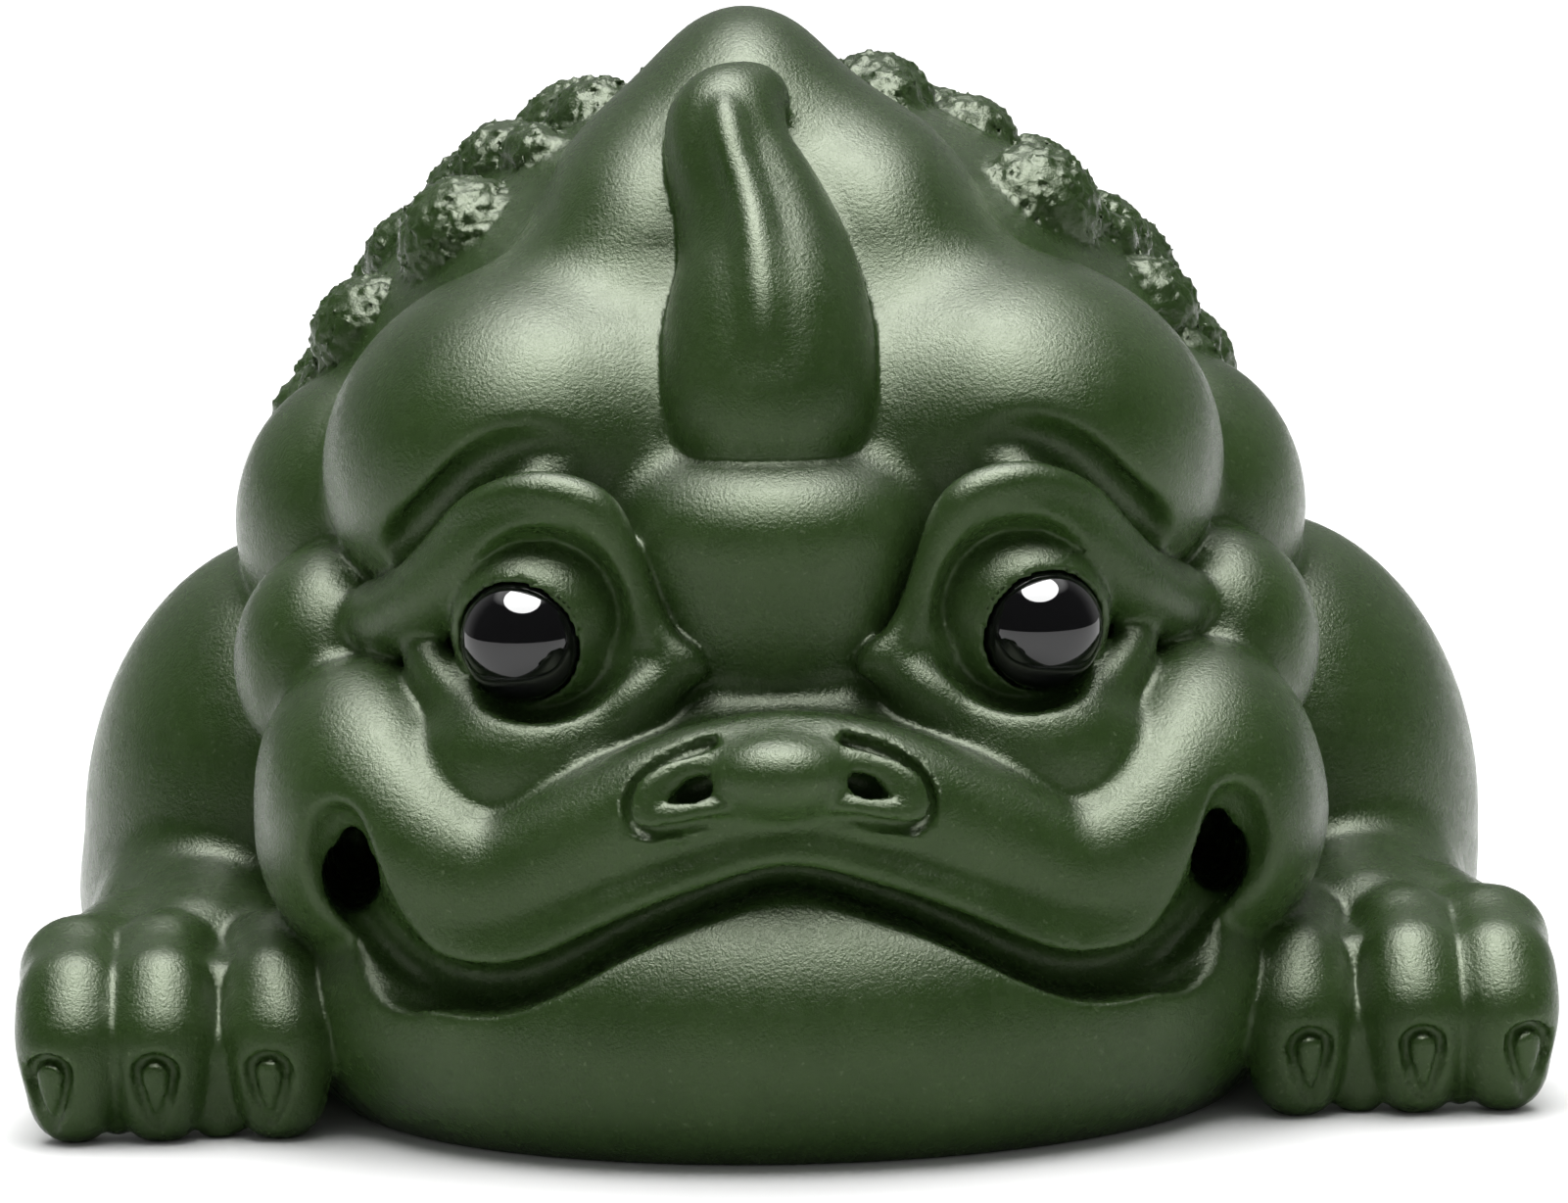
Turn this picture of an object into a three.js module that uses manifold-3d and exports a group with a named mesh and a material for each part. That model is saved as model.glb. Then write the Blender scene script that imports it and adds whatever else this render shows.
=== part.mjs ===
import * as THREE from 'three';
import Module from 'manifold-3d';

const wasm = await Module();
wasm.setup();

// Driving sizes, millimetres. The figure faces -Y, its right and left are seen from the front, +Z is up
const figureWidth = 101.4;
const beadDiameter = 8;
const beadClearance = 0.3;

// Size of the first facets, and how many triangles are kept where the form needs them most
const facetSize = 1.6;
const bodyTriangles = 8400;

// The carving is written in shares of the width, so that it keeps its proportions
const widthInShares = 101.4;
const share = figureWidth / widthInShares;
const sides = [-1, 1];

// Places that several forms use, in shares: half the distance, depth and height
const eye = { x: 16.85, y: -40.8, z: 32.8 };
const toes = [
  { x: 33.4, thick: 3.05 },
  { x: 41.2, thick: 3.05 },
  { x: 46.9, thick: 2.95 },
];
const trunks = [
  { centre: [-0.3, 2, 27], radii: [35.4, 38, 38.5] },
  { centre: [-0.3, 24, 19], radii: [33, 30, 24] },
];

// The space that the carving is looked for in, in shares
const room = { x: 53, y: 60, low: -4.5, high: 74 };

// Flat sides around and up each ball
const beadSides = { around: 20, upward: 12 };
const socketSides = { around: 16, upward: 10 };

const span = (x, y, z) => Math.sqrt(x * x + y * y + z * z);

// A carving is a list of strokes of clay; its distance is negative inside the clay
class Carving {
  constructor() {
    this.strokes = [];
  }

  add(shape, blend) {
    this.strokes.push({ ...shape, blend, sign: 1 });
  }

  cut(shape, blend) {
    this.strokes.push({ ...shape, blend, sign: -1 });
  }

  at(x, y, z) {
    let depth = 50;
    for (const stroke of this.strokes) {
      const [cx, cy, cz] = stroke.centre;
      const away = span(x - cx, y - cy, z - cz) - stroke.reach;
      if (away > stroke.sign * depth + stroke.blend) {
        continue;
      }
      const next = stroke.sign * stroke.distance(x, y, z);
      const soft = Math.max(stroke.blend - Math.abs(depth - next), 0);
      const round = (soft * soft) / stroke.blend / 4;
      depth = stroke.sign > 0 ? Math.min(depth, next) - round : Math.max(depth, next) + round;
    }
    return depth;
  }
}

// An oval lump; turn gives degrees about X, Y and Z
function lump(centre, radii, turn = [0, 0, 0]) {
  const angles = turn.map((angle) => THREE.MathUtils.degToRad(angle));
  const m = new THREE.Matrix4().makeRotationFromEuler(new THREE.Euler(...angles, 'ZYX')).elements;
  const [a, b, c] = radii;
  const distance = (x, y, z) => {
    const dx = x - centre[0];
    const dy = y - centre[1];
    const dz = z - centre[2];
    const u = (dx * m[0] + dy * m[1] + dz * m[2]) / a;
    const v = (dx * m[4] + dy * m[5] + dz * m[6]) / b;
    const w = (dx * m[8] + dy * m[9] + dz * m[10]) / c;
    const reach = span(u, v, w);
    const slope = span(u / a, v / b, w / c) + 1e-9;
    return (reach * (reach - 1)) / slope;
  };
  return { distance, centre, reach: Math.max(...radii) };
}

// A roll of clay along points, with one thickness at each point
function strand(points, radii, soft = 1.5) {
  const box = new THREE.Box3().setFromPoints(points.map((point) => new THREE.Vector3(...point)));
  const sphere = box.getBoundingSphere(new THREE.Sphere());
  const distance = (x, y, z) => {
    let best = 50;
    for (let n = 0; n + 1 < points.length; n += 1) {
      const [ax, ay, az] = points[n];
      const bx = points[n + 1][0] - ax;
      const by = points[n + 1][1] - ay;
      const bz = points[n + 1][2] - az;
      const px = x - ax;
      const py = y - ay;
      const pz = z - az;
      const along = (px * bx + py * by + pz * bz) / (bx * bx + by * by + bz * bz);
      const t = Math.min(Math.max(along, 0), 1);
      const gap = span(px - t * bx, py - t * by, pz - t * bz);
      const next = gap - radii[n] - (radii[n + 1] - radii[n]) * t;
      const meet = Math.max(soft - Math.abs(best - next), 0);
      best = Math.min(best, next) - (meet * meet) / soft / 4;
    }
    return best;
  };
  return { distance, centre: sphere.center.toArray(), reach: sphere.radius + Math.max(...radii) + soft / 4 };
}

// A smooth curve through points, with thicknesses that change evenly along it
function rounded(points, thick, steps = 4, soft = 1.5) {
  const curve = new THREE.CatmullRomCurve3(points.map((p) => new THREE.Vector3(...p)), false, 'catmullrom');
  const count = (points.length - 1) * steps;
  const path = curve.getPoints(count).map((p) => p.toArray());
  const radii = path.map((p, n) => {
    const place = (n / count) * (thick.length - 1);
    const first = Math.min(Math.floor(place), thick.length - 2);
    return thick[first] + (thick[first + 1] - thick[first]) * (place - first);
  });
  return strand(path, radii, soft);
}

// Mirrors a half list of points about the middle and joins the halves at the middle point
function bothHalves(half, middle) {
  const left = half.map(([x, y, z]) => [-x, y, z]);
  return [...left, middle, ...half.slice().reverse()];
}

// Points of one half, moved to the wanted side
const onSide = (points, side) => points.map(([x, y, z]) => [side * x, y, z]);

// A place on the trunk, at an angle from straight up, sunk into the clay by some depth
function onBack(y, angle, side, sink) {
  const turn = THREE.MathUtils.degToRad(angle);
  const dx = Math.sin(turn) * side;
  const dz = Math.cos(turn);
  const startHeight = 24;
  let reach = 0;
  for (const { centre, radii } of trunks) {
    const spare = 1 - ((y - centre[1]) / radii[1]) ** 2;
    const square = (dx / radii[0]) ** 2 + (dz / radii[2]) ** 2;
    const lift = (startHeight - centre[2]) / radii[2];
    const middle = (2 * lift * dz) / radii[2];
    const inside = middle * middle - 4 * square * (lift * lift - spare);
    if (spare > 0 && inside > 0) {
      reach = Math.max(reach, (Math.sqrt(inside) - middle) / square / 2);
    }
  }
  return [trunks[0].centre[0] + dx * (reach - sink), y, startHeight + dz * (reach - sink)];
}

function addTrunk(clay) {
  clay.add(lump(trunks[0].centre, trunks[0].radii), 1);
  clay.add(lump(trunks[1].centre, trunks[1].radii), 9);
  for (const side of sides) {
    clay.add(lump([side * 24, 22, 14], [17, 21, 17]), 3);
  }
}

// The single hind leg under the rump, with three toes
function addHindLeg(clay) {
  clay.add(lump([0, 40, 9], [15, 11, 9.5]), 3);
  for (const toe of [-1, 0, 1]) {
    const path = [[toe * 4, 44, 5], [toe * 6.5, 49.5, 3.4], [toe * 7.2, 51.3, 2.4]];
    clay.add(strand(path, [4, 3.2, 2.7]), 1.2);
  }
}

function addArm(clay, side) {
  clay.add(lump([side * 33.8 + 0.5, -1, 15.5], [14.7, 18, 19.5], [8, side * -6, 0]), 1.6);
  clay.add(lump([side * 40.4, 9, 4.5], [8.8, 11, 9.5]), 0.5);
  const foreArm = [[side * 40, 0, 9], [side * 39.4, -14, 8.4], [side * 39.2, -26, 7.6]];
  clay.add(strand(foreArm, [8.5, 7.6, 6.6]), 2);
  clay.add(lump([side * 26.9, -8, 36.5], [9.8, 13, 10.8]), 1.2);
}

function addFoot(clay, side) {
  for (const { x, thick } of toes) {
    const half = [[x / 2 + 20, -23, 8.2], [x, -31.4, 9.7], [x, -36.4, 8.6], [x, -38.6, 6.2], [x, -38.9, 2.8]];
    clay.add(strand(onSide(half, side), [5.6, thick + 0.3, thick + 0.2, thick + 0.1, thick], 2.5), 0.5);
  }
  const web = [[37, -27, 10.2], [37, -35, 8.6], [37, -37.4, 2]];
  clay.add(strand(onSide(web, side), [2, 1.9, 1.9]), 0.5);
}

// Warts that show from the front, then rows of them over the back
function addWarts(clay) {
  const seen = {
    left: [[2, 16, 4], [2, 26.2, 4.3], [-7, 32.8, 4.8], [5, 39.4, 3.8], [-4, 47.4, 4.4], [4, 59, 3.6]],
    right: [[4, 12, 4.4], [5, 22, 3.8], [4, 30.4, 3.3], [-7, 29.7, 4.9], [3, 38.2, 3.6], [-4, 46, 3.9],
      [1, 54.5, 3.6]],
  };
  const listed = [];
  seen.left.forEach(([y, angle, size]) => listed.push([y, angle, -1, size]));
  seen.right.forEach(([y, angle, size]) => listed.push([y, angle, 1, size]));
  const rowCount = 5;
  const lowest = 58;
  for (let row = 0; row < rowCount; row += 1) {
    const step = 12.5 + row * 1.5;
    for (let angle = row % 2 ? 0 : step / 2; angle < lowest; angle += step) {
      for (const side of angle > 0 ? sides : [1]) {
        const sway = Math.sin(3.1 * row + 0.6 * angle * side);
        const size = (4.6 - row * 0.2) * (1 + sway * 0.16);
        listed.push([12 + row * 8 - row * row * 0.2 + sway, angle, side, size]);
      }
    }
  }
  const sink = 1.7;
  for (const [y, angle, side, size] of listed) {
    clay.add(lump(onBack(y, angle, side, sink), [size, size, size]), 0.6);
  }
}

function addHead(clay) {
  const head = new Carving();
  head.add(lump([-1.3, -10.5, 58.1], [8.8, 13, 13.3]), 2);
  head.add(lump([0, -18, 36], [20, 20, 22]), 6);
  for (const side of sides) {
    head.add(lump([side * 16.2, -22, 43], [14.2, 16, 12.3], [0, side * 22, 0]), 5);
    head.add(lump([side * 7.6 - 0.5, -14.5, 56.3], [7.4, 12, 8.2]), 6);
  }
  clay.add({ distance: (x, y, z) => head.at(x, y, z), centre: [0, -15, 45], reach: 38 }, 1.2);
  clay.add(lump([0, -20, 20], [34, 26, 15]), 2.5);
  clay.add(lump([0.3, -25.6, 8.2], [34.5, 30.8, 16.4]), 1.5);
  for (const side of sides) {
    clay.add(lump([side * 26.6 + 0.6, -29.4, 19.5], [8.7, 14.3, 10.2], [0, 0, side * 10]), 1);
    clay.add(lump([side * 30.6, -23, 29.3], [6.5, 8.4, 7.6], [0, side * -8, 0]), 0.7);
    clay.cut(lump([side * 17, -45, 33.5], [10.5, 8, 8.2]), 2);
  }
}

// A roll of clay runs from each cheek down to the lip and over the middle; the mouth is a groove below it
function addMuzzle(clay) {
  clay.add(lump([0, -37, 22.8], [15, 13.5, 5.8]), 2);
  const rollHalf = [[27.6, -33, 24], [26.4, -37, 22.4], [24.6, -40.6, 20.2], [21.8, -43, 18.2],
    [18, -44.6, 17.4], [12.8, -46.2, 19.9], [6.5, -47.8, 22.8]];
  const thick = [6.4, 5.8, 5, 4.5, 4, 4.2, 4.2];
  clay.add(rounded(bothHalves(rollHalf, [0, -48.4, 24.1]), [...thick, 4.2, ...thick.slice().reverse()]), 2);
  const rimHalf = [[26.2, -43.6, 18.1], [22.4, -46, 14.8], [17.6, -48, 14.5], [10.8, -50.6, 17.5]];
  clay.add(rounded(bothHalves(rimHalf, [0, -52, 21.1]), [0.9, 0.9]), 1.3);
  for (const side of sides) {
    const trough = [[29.2, -43.8, 20.8], [28.6, -43.9, 17.8], [27.2, -44.2, 14.6], [24.8, -45.3, 12.2]];
    clay.cut(rounded(onSide(trough, side), [1.7, 2.5, 2.5, 1.8]), 1);
    clay.cut(lump([side * 28.3, -39, 17.6], [1.9, 9, 2.7]), 0.3);
  }
  const mouthHalf = [[25.3, -45.6, 13.2], [20.4, -49.2, 11.9], [14.4, -51.1, 13.5], [6, -51.9, 17.5]];
  for (const inward of [0, 1.8]) {
    const groove = bothHalves(mouthHalf, [0, -52.2, 19.2]).map(([x, y, z]) => [x, y + inward, z]);
    clay.cut(rounded(groove, [1.2, 1.2]), 0.8);
  }
}

function addNose(clay) {
  const middle = -0.5;
  clay.add(lump([middle, -51.7, 25.1], [4.5, 3.4, 2.8]), 0.8);
  for (const side of sides) {
    const wing = [[6, -53.2, 22.4], [8.4, -52.1, 23.6], [7.4, -51, 25.4], [3, -49.9, 27.1]];
    clay.add(rounded(wing.map(([x, y, z]) => [side * x + middle, y, z]), [0.8, 0.8]), 0.9);
    clay.cut(lump([side * 5.5 + middle, -53.4, 24.4], [1.5, 2.4, 0.9]), 0.5);
  }
}

function addEyes(clay) {
  clay.add(lump([-0.5, -34.6, 38.6], [10.6, 9.4, 6.4]), 2);
  clay.add(lump([-0.3, -36, 33.5], [6.6, 7.4, 5.5]), 3);
  const upper = [[27.4, -29.4, 33.6], [22.6, -34.7, 36.8], [19.4, -36.9, 40], [16, -38.5, 41.5],
    [12.8, -39.4, 40.8], [10.9, -40.3, 37.2], [9.4, -41, 33.8], [7, -42, 31]];
  const lower = [[23.8, -34.4, 32], [19.8, -40, 27.5], [16.4, -41.6, 26.2], [12.8, -42.2, 26.5],
    [8, -42, 30.4]];
  for (const side of sides) {
    clay.add(rounded(onSide(upper, side), [1.9, 1.9, 1.7, 1.1]), 1);
    clay.add(lump([side * 16.2, -39.6, 24.6], [8, 6.6, 6], [0, side * 8, 0]), 1.1);
    clay.add(rounded(onSide(lower, side), [1, 1.7, 1.7, 1]), 1);
    clay.cut(lump([side * 15.8, -43, 34], [6, 5.6, 6.4]), 0.8);
    clay.add(lump([side * 15.8, -37.9, 33.5], [5.8, 5.8, 5.8]), 0.4);
  }
}

// A blunt horn that curves back over the brow and hooks to one side, with a keel along its front
function addHorn(clay) {
  const core = [[-0.4, -33.4, 47.2], [-0.3, -31.8, 51.6], [-0.3, -29.4, 55.2], [-1.2, -27.2, 58.9],
    [-2.5, -25.4, 62.1], [-2.7, -23.8, 64.4], [-1.9, -22.8, 65.5], [-0.7, -22.3, 66.1], [0.1, -22, 65.2]];
  clay.add(rounded(core, [7.2, 6.7, 5.7, 4.8, 4.1, 3.8, 2.8, 2, 1.2], 3, 0.5), 0.4);
  const keel = [[-2.9, -27.5, 66], [-1.5, -32.5, 60.1], [-1, -35.5, 57], [-0.8, -38.4, 52]];
  clay.add(rounded(keel, [0.6, 0.6, 0.7, 0.2]), 2.2);
}

function carveToad() {
  const clay = new Carving();
  addTrunk(clay);
  addHindLeg(clay);
  sides.forEach((side) => addArm(clay, side));
  addWarts(clay);
  addHead(clay);
  addMuzzle(clay);
  addEyes(clay);
  addHorn(clay);
  addNose(clay);
  sides.forEach((side) => addFoot(clay, side));
  return clay;
}

// Evenly spaced grid lines
function gridLines(low, high) {
  const count = Math.round((high - low) / facetSize);
  return Array.from({ length: count + 1 }, (unused, n) => low + ((high - low) * n) / count);
}

// Puts clay where two parts would only touch along a line or at a point
function fillPinches(depth, step) {
  const touch = -1e-3;
  let found = true;
  for (let pass = 0; found && pass < 20; pass += 1) {
    found = false;
    for (let n = 0; n < depth.length - step[0] - step[1] - 1; n += 1) {
      for (let axis = 0; axis < 3; axis += 1) {
        const [right, up] = [step[(axis + 1) % 3], step[(axis + 2) % 3]];
        const a = depth[n] < 0;
        const b = depth[n + right] < 0;
        if (a !== b && a === depth[n + right + up] < 0 && b === depth[n + up] < 0) {
          depth[a ? n + right : n] = touch;
          found = true;
        }
      }
      for (let turn = 0; turn < 4; turn += 1) {
        const low = n + (turn & 1) * step[1] + (turn >> 1) * step[2];
        const high = n + step[0] + (1 - (turn & 1)) * step[1] + (1 - (turn >> 1)) * step[2];
        const ends = depth[low] < 0;
        if (ends !== depth[high] < 0) {
          continue;
        }
        let same = 0;
        for (let corner = 0; corner < 8; corner += 1) {
          const place = n + (corner & 1) * step[0] + ((corner >> 1) & 1) * step[1] + (corner >> 2) * step[2];
          same += depth[place] < 0 === ends ? 1 : 0;
        }
        if (same === 2) {
          depth[ends ? low + step[0] : low] = touch;
          found = true;
        }
      }
    }
  }
}

// Facets of a carving: one corner in each grid cell that the surface crosses, one quad at each crossed edge
function facets(clay, lines) {
  const size = lines.map((list) => list.length);
  const step = [size[1] * size[2], size[2], 1];
  const depth = new Float64Array(size[0] * size[1] * size[2]);
  const index = (i, j, k) => i * step[0] + j * step[1] + k;
  for (let i = 1; i < size[0] - 1; i += 1) {
    for (let j = 1; j < size[1] - 1; j += 1) {
      for (let k = 1; k < size[2] - 1; k += 1) {
        depth[index(i, j, k)] = clay.at(lines[0][i], lines[1][j], lines[2][k]) || 1e-6;
      }
    }
  }
  const inside = (n) => depth[n] < 0;
  fillPinches(depth, step);
  const corners = new Int32Array(depth.length).fill(-1);
  const points = [];
  const visit = (job) => {
    for (let i = 0; i < size[0] - 1; i += 1) {
      for (let j = 0; j < size[1] - 1; j += 1) {
        for (let k = 0; k < size[2] - 1; k += 1) {
          job([i, j, k], index(i, j, k));
        }
      }
    }
  };
  visit((cell, start) => {
    const sum = [0, 0, 0];
    let crossed = 0;
    for (let axis = 0; axis < 3; axis += 1) {
      const [right, up] = [(axis + 1) % 3, (axis + 2) % 3];
      for (let edge = 0; edge < 4; edge += 1) {
        const shift = [0, 0, 0];
        shift[right] = edge & 1;
        shift[up] = edge >> 1;
        const from = start + shift[right] * step[right] + shift[up] * step[up];
        const to = from + step[axis];
        if (inside(from) !== inside(to)) {
          shift[axis] = depth[from] / (depth[from] - depth[to]);
          crossed += 1;
          for (let n = 0; n < 3; n += 1) {
            const line = lines[n];
            sum[n] += line[cell[n]] + (line[cell[n] + 1] - line[cell[n]]) * shift[n];
          }
        }
      }
    }
    if (crossed > 0) {
      corners[start] = points.length;
      points.push(sum.map((value) => value / crossed));
    }
  });
  const triangles = [];
  visit((cell, start) => {
    for (let axis = 0; axis < 3; axis += 1) {
      const [right, up] = [(axis + 1) % 3, (axis + 2) % 3];
      const onRim = cell[right] === 0 || cell[up] === 0;
      if (onRim || inside(start) === inside(start + step[axis])) {
        continue;
      }
      const ring = [0, step[right], step[right] + step[up], step[up]].map((back) => corners[start - back]);
      const [a, b, c, d] = inside(start) ? ring : ring.reverse();
      triangles.push([a, b, c], [a, c, d]);
    }
  });
  return { points, triangles };
}

// Keeps the outer skin only, so that no closed pocket stays inside the clay
function outerSkin(triangles) {
  const group = triangles.map((triangle, n) => n);
  const root = (n) => {
    let top = n;
    while (group[top] !== top) {
      group[top] = group[group[top]];
      top = group[top];
    }
    return top;
  };
  const edges = new Map();
  triangles.forEach((triangle, n) => {
    triangle.forEach((from, corner) => {
      const to = triangle[(corner + 1) % 3];
      const key = Math.min(from, to) * 1e6 + Math.max(from, to);
      if (edges.has(key)) {
        group[root(n)] = root(edges.get(key));
      }
      edges.set(key, n);
    });
  });
  const count = new Map();
  triangles.forEach((triangle, n) => count.set(root(n), (count.get(root(n)) || 0) + 1));
  const largest = [...count.entries()].sort((a, b) => b[1] - a[1])[0][0];
  return triangles.filter((triangle, n) => root(n) === largest);
}

// Normal of a triangle, as long as twice its area
function normalOf(a, b, c) {
  const [ux, uy, uz] = [b[0] - a[0], b[1] - a[1], b[2] - a[2]];
  const [vx, vy, vz] = [c[0] - a[0], c[1] - a[1], c[2] - a[2]];
  return [uy * vz - uz * vy, uz * vx - ux * vz, ux * vy - uy * vx];
}

// Sum of squared distances from a point to the planes that a corner has gathered
function planeError(q, [x, y, z]) {
  const square = q[0] * x * x + q[4] * y * y + q[7] * z * z + q[9];
  return square + 2 * (q[1] * x * y + q[2] * x * z + q[3] * x + q[5] * y * z + q[6] * y + q[8] * z);
}

// Closes the edges that matter least to the form until the wanted number of triangles is left
function thinOut(points, triangles, wanted) {
  const planes = points.map(() => new Float64Array(10));
  const around = points.map(() => new Set());
  triangles.forEach((triangle, n) => {
    const [a, b, c] = triangle.map((corner) => points[corner]);
    const normal = normalOf(a, b, c);
    const size = span(...normal) || 1e-9;
    const plane = normal.map((value) => value / size);
    plane.push(-(plane[0] * a[0] + plane[1] * a[1] + plane[2] * a[2]));
    triangle.forEach((corner) => {
      let place = 0;
      for (let i = 0; i < 4; i += 1) {
        for (let j = i; j < 4; j += 1) {
          planes[corner][place] += (plane[i] * plane[j] * size) / 2;
          place += 1;
        }
      }
      around[corner].add(n);
    });
  });
  const neighbours = (corner) => {
    const found = new Set();
    around[corner].forEach((n) => triangles[n].forEach((other) => found.add(other)));
    found.delete(corner);
    return found;
  };
  const turnsOver = (corner, partner, target) => {
    for (const n of around[corner]) {
      const triangle = triangles[n];
      if (triangle.includes(partner)) {
        continue;
      }
      const before = normalOf(...triangle.map((other) => points[other]));
      const after = normalOf(...triangle.map((other) => (other === corner ? target : points[other])));
      const along = before[0] * after[0] + before[1] * after[1] + before[2] * after[2];
      if (along < 0.6 * span(...before) * span(...after) || span(...after) < 0.1) {
        return true;
      }
    }
    return false;
  };
  let left = triangles.length;
  for (let pass = 0; pass < 60 && left > wanted; pass += 1) {
    const limit = 1e-3 * 1.3 ** pass;
    for (let n = 0; n < triangles.length && left > wanted; n += 1) {
      for (let side = 0; triangles[n] && side < 3; side += 1) {
        const keep = triangles[n][side];
        const drop = triangles[n][(side + 1) % 3];
        const both = planes[keep].map((value, k) => value + planes[drop][k]);
        const half = points[keep].map((value, k) => (value + points[drop][k]) / 2);
        const choices = [half, points[keep], points[drop]].map((point) => [planeError(both, point), point]);
        const [error, target] = choices.sort((a, b) => a[0] - b[0])[0];
        if (error > limit) {
          continue;
        }
        const beside = neighbours(drop);
        const shared = [...neighbours(keep)].filter((other) => beside.has(other)).length;
        if (shared !== 2 || turnsOver(keep, drop, target) || turnsOver(drop, keep, target)) {
          continue;
        }
        points[keep] = target.slice();
        planes[keep] = both;
        for (const m of around[drop]) {
          if (triangles[m].includes(keep)) {
            triangles[m].forEach((other) => other !== drop && around[other].delete(m));
            triangles[m] = null;
            left -= 1;
          } else {
            triangles[m] = triangles[m].map((other) => (other === drop ? keep : other));
            around[keep].add(m);
          }
        }
        around[drop].clear();
      }
    }
  }
  return triangles.filter(Boolean);
}

// Moves each corner along the steepest slope until it lies on the surface
function settle(clay, points) {
  const probe = 0.05;
  for (const point of points) {
    for (let pass = 0; pass < 2; pass += 1) {
      const [x, y, z] = point;
      const depth = clay.at(x, y, z);
      const slope = [
        clay.at(x + probe, y, z) - clay.at(x - probe, y, z),
        clay.at(x, y + probe, z) - clay.at(x, y - probe, z),
        clay.at(x, y, z + probe) - clay.at(x, y, z - probe),
      ].map((value) => value / probe / 2);
      const steep = Math.max(slope[0] ** 2 + slope[1] ** 2 + slope[2] ** 2, 0.3);
      const move = Math.min(Math.max(depth / steep, -0.3), 0.3);
      slope.forEach((value, n) => {
        point[n] -= value * move;
      });
    }
  }
}

function solidFrom(points, triangles) {
  const number = new Map();
  triangles.flat().forEach((corner) => number.has(corner) || number.set(corner, number.size));
  return new wasm.Manifold(new wasm.Mesh({
    numProp: 3,
    vertProperties: new Float32Array([...number.keys()].flatMap((corner) => points[corner])),
    triVerts: new Uint32Array(triangles.flat().map((corner) => number.get(corner))),
  }));
}

function solidFromGeometry(geometry) {
  const place = geometry.getAttribute('position');
  const points = [];
  const known = new Map();
  const number = [];
  for (let n = 0; n < place.count; n += 1) {
    const point = [place.getX(n), place.getY(n), place.getZ(n)];
    const key = point.map((value) => Math.round(value * 1e4)).join(' ');
    if (!known.has(key)) {
      known.set(key, points.length);
      points.push(point);
    }
    number.push(known.get(key));
  }
  const triangles = [];
  for (let n = 0; n < geometry.index.count; n += 3) {
    const triangle = [0, 1, 2].map((step) => number[geometry.index.getX(n + step)]);
    if (new Set(triangle).size === 3) {
      triangles.push(triangle);
    }
  }
  return solidFrom(points, triangles);
}

function ball(radius, centre, count) {
  const shape = new THREE.SphereGeometry(radius, count.around, count.upward);
  shape.rotateX(Math.PI / 2);
  shape.translate(...centre);
  return solidFromGeometry(shape);
}

function floorBlock() {
  const block = new THREE.BoxGeometry(figureWidth * 2, figureWidth * 2, figureWidth);
  block.translate(0, 0, -figureWidth / 2);
  return solidFromGeometry(block);
}

function meshFrom(solid, name, colour, roughness) {
  const { vertProperties, triVerts } = solid.getMesh();
  const geometry = new THREE.BufferGeometry();
  geometry.setAttribute('position', new THREE.BufferAttribute(new Float32Array(vertProperties), 3));
  geometry.setIndex(new THREE.BufferAttribute(new Uint32Array(triVerts), 1));
  geometry.computeVertexNormals();
  const material = new THREE.MeshStandardMaterial({ color: colour, roughness, metalness: 0 });
  const mesh = new THREE.Mesh(geometry, material);
  mesh.name = name;
  return mesh;
}

const eyeCentre = (side) => [side * eye.x, eye.y, eye.z].map((value) => value * share);

function toadBody() {
  const clay = carveToad();
  const ranges = [[-room.x, room.x], [-room.y, room.y], [room.low, room.high]];
  const skin = facets(clay, ranges.map(([low, high]) => gridLines(low, high)));
  const { points } = skin;
  settle(clay, points);
  const triangles = thinOut(points, outerSkin(skin.triangles), bodyTriangles);
  let body = solidFrom(points.map((point) => point.map((value) => value * share)), triangles);
  body = body.subtract(floorBlock());
  for (const side of sides) {
    const socket = ball(beadDiameter / 2 + beadClearance, eyeCentre(side), socketSides);
    body = body.subtract(socket);
  }
  return meshFrom(body, 'toad_body', 0x3c4c32, 0.55);
}

function eyeBead(side, name) {
  const bead = ball(beadDiameter / 2, eyeCentre(side), beadSides);
  return meshFrom(bead, name, 0x0a0a0a, 0.08);
}

const figure = new THREE.Group();
figure.name = 'money_toad_figure';
figure.add(toadBody());
figure.add(eyeBead(-1, 'left_eye_bead'));
figure.add(eyeBead(1, 'right_eye_bead'));

// The origin is below the middle of the whole figure, on the floor
const middle = new THREE.Box3().setFromObject(figure).getCenter(new THREE.Vector3());
figure.children.forEach((mesh) => mesh.geometry.translate(-middle.x, -middle.y, 0));

export default figure;
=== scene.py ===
import math

import bpy
import numpy as np
from mathutils import Matrix, Vector


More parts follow.
